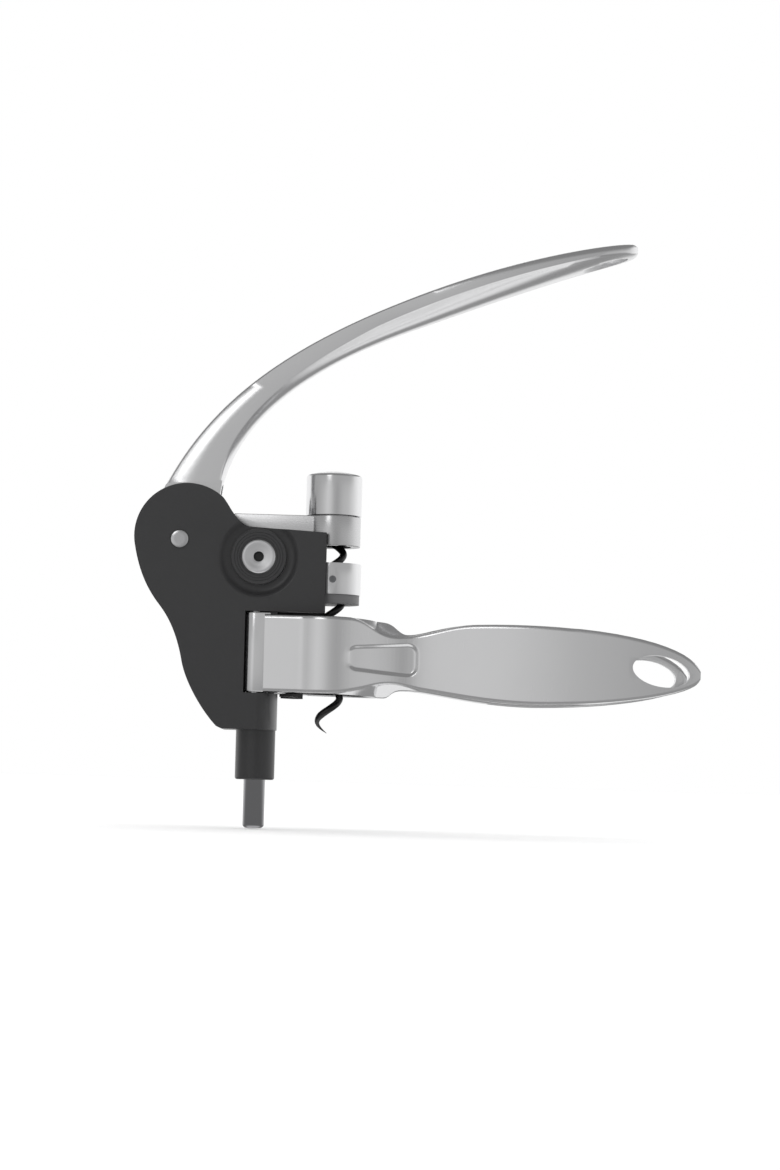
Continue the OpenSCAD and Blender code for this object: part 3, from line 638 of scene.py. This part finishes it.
def makeShell(name, side):
    inner, outer = side * shell["inner"], side * shell["outer"]
    overlap = inner + side * 0.05
    notchX, notchTop, notchLow = shell["notch"]
    footLeft, footRight, footRound = shell["foot"]
    low, right = shell["floor"], shell["right"]
    outline = chain(arc(*shell["lobe"], 190.6, 49.9, 48), neckEdge,
                    [(right, 41.0), (right, notchTop), (notchX, notchTop), (notchX, notchLow),
                     (footRight, notchLow), (footRight, low), (footLeft, low)], reversed(leftEdge))
    obj = plate(name, outline[:-1], inner, outer)
    foot = [(footLeft, 0), (footLeft, outer), (footRight, outer)]
    for a in range(84, -1, -6):
        turned = math.radians(a)
        foot.append((footRight + footRound * math.cos(turned), outer * math.sin(turned)))
    combine(obj, plate("foot", foot, low, notchLow, "z"), "UNION")
    wall = [p for p in leftEdge if p[1] < 18]
    inside = [(x + shell["wall"], z + shell["base"]) for x, z in reversed(wall)]
    wall += [(footLeft, low), (-31.1, low), (-31.1, low + shell["base"])] + inside
    combine(obj, plate("wall", wall, 0, overlap), "UNION")
    lugLeft, lugRight, lugHeight, lugInner = shell["lug"]
    for z in (notchTop, notchLow - lugHeight):
        lug = [(lugLeft, z), (lugRight, z), (lugRight, z + lugHeight), (lugLeft, z + lugHeight)]
        combine(obj, plate("lug", lug, side * lugInner, overlap), "UNION")
    bevelWhere(obj, lambda m: abs(m.y - outer) < 0.05 or m.z < low + 0.05, shell["rim"], 4)
    combine(obj, sideLathe("dish", dish, shell["boss"], side, 96))
    combine(obj, sideLathe("boss", boss, shell["boss"], side, 96), "UNION")
    combine(obj, sideLathe("pinSeat", pinSeat, shell["pivot"], side, 48))
    if side > 0:
        for place in shell["screws"]:
            combine(obj, sideLathe("screwSeat", screwSeat, place, side, 32))
    return obj


for name, side, node in (("frontShell", -1, "front_shell"), ("rearShell", 1, "rear_shell")):
    finishPiece(makeShell(name, side), "frame", paintedZinc, node, angle=28)
print("shells made")


# Turned and pressed pieces, their profiles as (radius, height)
holeShadeRadius = 1.74    # inside this radius, in the rivet's hole, the faces are painted dark as painted shade
rivetProfile = [(0, -2.2), (3.0, -2.2), (3.0, 1.2), (5.7, 1.2), (5.7, 2.05), (5.5, 2.32), (5.15, 2.46),
                (4.6, 2.44), (3.7, 2.2), (2.9, 1.98), (2.0, 1.95), (1.75, 1.8), (1.7, 1.6), (1.7, -1.5),
                (0, -1.5)]
pinHead = [(0, -1), (3.05, -1), (3.05, 0.15), (2.95, 0.38), (2.6, 0.5), (1.6, 0.5), (0, 0.5)]
pinShank = [(0, -12.5), (2.5, -12.5), (2.5, 12.5), (0, 12.5)]
capProfile = ([(0, 47.55), (9.25, 47.55), (9.55, 47.7), (9.6, 47.95), (9.6, 60.9)]
              + arc(8.7, 60.9, 0.9, 15, 90, 5)
              + [(8.7 * t, 63.1 - 1.3 * t * t) for t in (0.8, 0.6, 0.4, 0.2, 0)])
guideX = -24.8      # axis of the guide tube and its rod
tubeProfile = [(4.8, -43.7), (6.0, -43.7), (6.45, -43.6), (6.72, -43.3), (6.8, -42.9), (6.8, -14.2),
               (4.8, -14.2), (4.8, -43.7)]
rodProfile = [(0, -60.4), (2.6, -60.4), (2.95, -60.3), (3.6, -59.7), (3.75, -59.4), (3.75, 45.6),
              (3.3, 46), (0, 46)]

for side, word in ((-1, "front"), (1, "rear")):
    bx, bz = shell["boss"]
    rivet = sideLathe(word + "Rivet", rivetProfile, (bx, bz), side, 96)
    finishPiece(rivet, "frame", blastedRivet, word + "_boss_rivet")
    # the faces in the rivet's hole take the dark screw steel: painted shade where the hole's own shade falls,
    # not a finish the rivet has
    rivet.data.materials.append(blackenedSteel)
    for face in rivet.data.polygons:
        middle = face.center / mm
        if math.hypot(middle.x - bx, middle.z - bz) < holeShadeRadius:
            face.material_index = 1

px, pz = shell["pivot"]
pin = sideLathe("pivotPin", pinHead, (px, pz), -1, 48)
combine(pin, sideLathe("pinBack", pinHead, (px, pz), 1, 48), "UNION")
combine(pin, lathe("pinShank", pinShank, px, 0, pz, 48, "y"), "UNION")
finishPiece(pin, "frame", steelPin, "pivot_pin")

for name, node, profile, x, body, material, slotName in (
        ("knob", "worm_cap", capProfile, 0, "carriage", satinTurned, "satin_cap"),
        ("guideTube", "guide_tube", tubeProfile, guideX, "frame", paintedZinc, "shell_paint"),
        ("guideRod", "guide_rod", rodProfile, guideX, "carriage", polishedRod, "polished_rod")):
    finishPiece(lathe(name, profile, x, 0, 0, 96), body, material, node)

for name, node, body, material, slotName, width in (
        ("carriageArm", "carriage_arm", "carriage", satinArm, "satin_plate", 0.45),
        ("nutYoke", "nut_yoke", "frame", satinTurned, "satin_plate", 0.45),
        ("nutInsert", "nut_insert", "frame", greyNylon, "grey_nylon", 0.35)):
    finishPiece(roundEdges(copyNode(node, name), width), body, material, node)
print("turned pieces made")


# CAD nodes that stay, with their finishes
nodeFinish = {
    "shell_screws": blackenedSteel,
    "rod_bush": sinteredBronze,
    "nut_pin": gearSteel,
    "front_slide_pad": whiteAcetal,
    "rear_slide_pad": whiteAcetal,
    "pivot_washers": whiteAcetal,
    "front_hinge_pin": steelPin,
    "rear_hinge_pin": steelPin,
    "lever_inlay": darkInlay,
    "gear_sector": gearSteel,
    "sector_rivets": steelPin,
    "lever_bush": sinteredBronze,
    "rack_bar": gearSteel,
    "worm_bush": sinteredBronze,
    "thrust_washer": whiteAcetal,
    "cap_plug": steelPin,
    "worm_head": blackenedSteel,
    "front_jaw_pad": blackRubber,
    "rear_jaw_pad": blackRubber,
}
for name, finish in nodeFinish.items():
    nodes[name].data.materials.clear()
    nodes[name].data.materials.append(finish)
print("CAD nodes finished")


# Floor, light and camera
bpy.ops.mesh.primitive_plane_add(size=6, location=(0, 1.5, cadBox[0][2] - 0.3 * mm))
floor = bpy.context.object
floor.name = "floor"
floorPaint, floorTree, floorShader = newMaterial("paleMattFloor")
floorShader.inputs["Base Color"].default_value = linear("#f6f6f6")
floorShader.inputs["Roughness"].default_value = 0.9
floorShader.inputs["Specular IOR Level"].default_value = 0.0
floor.data.materials.append(floorPaint)
floor.visible_glossy = False  # the metal mirrors the studio, not the floor sheet

world = bpy.data.worlds.new("studio")
bpy.context.scene.world = world
world.use_nodes = True
worldTree = world.node_tree
background = worldTree.nodes["Background"]
# white behind the tool, greyer round the lens and at both sides
direction = addNode(worldTree, "ShaderNodeTexCoord").outputs["Generated"]
split = addNode(worldTree, "ShaderNodeSeparateXYZ", {0: direction})
east, height = split.outputs["X"], split.outputs["Z"]
back = addNode(worldTree, "ShaderNodeMath", {0: split.outputs["Y"], 1: -1.0}, operation="MULTIPLY").outputs[0]
bearing = addNode(worldTree, "ShaderNodeMath", {0: east, 1: back}, operation="ARCTAN2").outputs[0]
share = addNode(worldTree, "ShaderNodeMapRange",
                {"Value": bearing, "From Min": -math.pi, "From Max": math.pi}).outputs[0]
# bearing from the lens in degrees, to the right, and the level there
levels = [(-180, 1), (-118, 1), (-100, 0.5), (-82, 0.38), (-62, 0.44), (-42, 0.55), (-26, 0.68),
          (-12, 0.6), (0, 0.44), (12, 0.37), (22, 0.42), (40, 0.52), (60, 0.56), (80, 0.7), (100, 0.86),
          (120, 1), (180, 1)]
ramp = addNode(worldTree, "ShaderNodeValToRGB", {"Fac": share})
while len(ramp.color_ramp.elements) < len(levels):
    ramp.color_ramp.elements.new(0.5)
for element, (bearingAt, level) in zip(ramp.color_ramp.elements, levels):
    element.position = (bearingAt + 180) / 360
    element.color = (level, level, level, 1)
front = addNode(worldTree, "ShaderNodeMapRange",
                {"Value": back, "From Min": -0.1, "From Max": 0.3}).outputs[0]
sky = ramp.outputs["Color"]
# zones by the height of the view's direction: where each starts, where it is full, and its level
zones = {"card over the lens": (0.13, 0.2, 0.42), "ceiling": (0.34, 0.48, 0.24),
         "skirt": (-0.14, -0.34, 0.3), "ground": (-0.66, -0.82, 0.9)}
for zone, (start, full, level) in zones.items():
    amount = addNode(worldTree, "ShaderNodeMapRange", {"Value": height, "From Min": start, "From Max": full},
                     interpolation_type="SMOOTHSTEP").outputs[0]
    if zone == "card over the lens":
        amount = addNode(worldTree, "ShaderNodeMath", {0: amount, 1: front}, operation="MULTIPLY").outputs[0]
    sky = addNode(worldTree, "ShaderNodeMix", {0: amount, 6: sky, 7: (level, level, level, 1)},
                  data_type="RGBA").outputs[2]
worldTree.links.new(sky, background.inputs["Color"])
background.inputs["Strength"].default_value = 1.0


def areaLight(name, place, aim, size, power):
    bpy.ops.object.light_add(type="AREA", location=tuple(v * mm for v in place))
    light = bpy.context.object
    light.name = name
    light.data.shape = "RECTANGLE"
    light.data.size, light.data.size_y = size * mm, size * mm
    light.data.energy = power
    towards = Vector(aim) * mm - light.location
    light.rotation_euler = towards.to_track_quat("-Z", "Y").to_euler()
    return light


overhead = areaLight("overheadSoft", (0, 2500, 2600), (0, 2500, 0), 9000, 330)
overhead.visible_glossy = False  # kept out of the metal's reflections
areaLight("frontSoft", (-500, -1300, 620), (20, 0, 30), 420, 0.9)

# level camera a little under the jaws, leaning 1.6 degrees, its frame raised by the shift
view = {"from": (3, -950, -41), "lens": 84.74, "right": (0.9996, 0, 0.0279), "shift": (0.0469, 0.1615)}
bpy.ops.object.camera_add()
camera = bpy.context.object
right = Vector(view["right"]).normalized()
ahead = Vector((0, 1, 0))
turn = Matrix((right, right.cross(ahead), -ahead)).transposed().to_4x4()
camera.matrix_world = Matrix.Translation(Vector(view["from"]) * mm) @ turn
camera.data.sensor_width = 36
camera.data.lens = view["lens"]
camera.data.shift_x, camera.data.shift_y = view["shift"]
camera.data.clip_start, camera.data.clip_end = 0.05, 20
bpy.context.scene.camera = camera
bpy.context.scene.view_settings.view_transform = "Standard"
print("studio set")
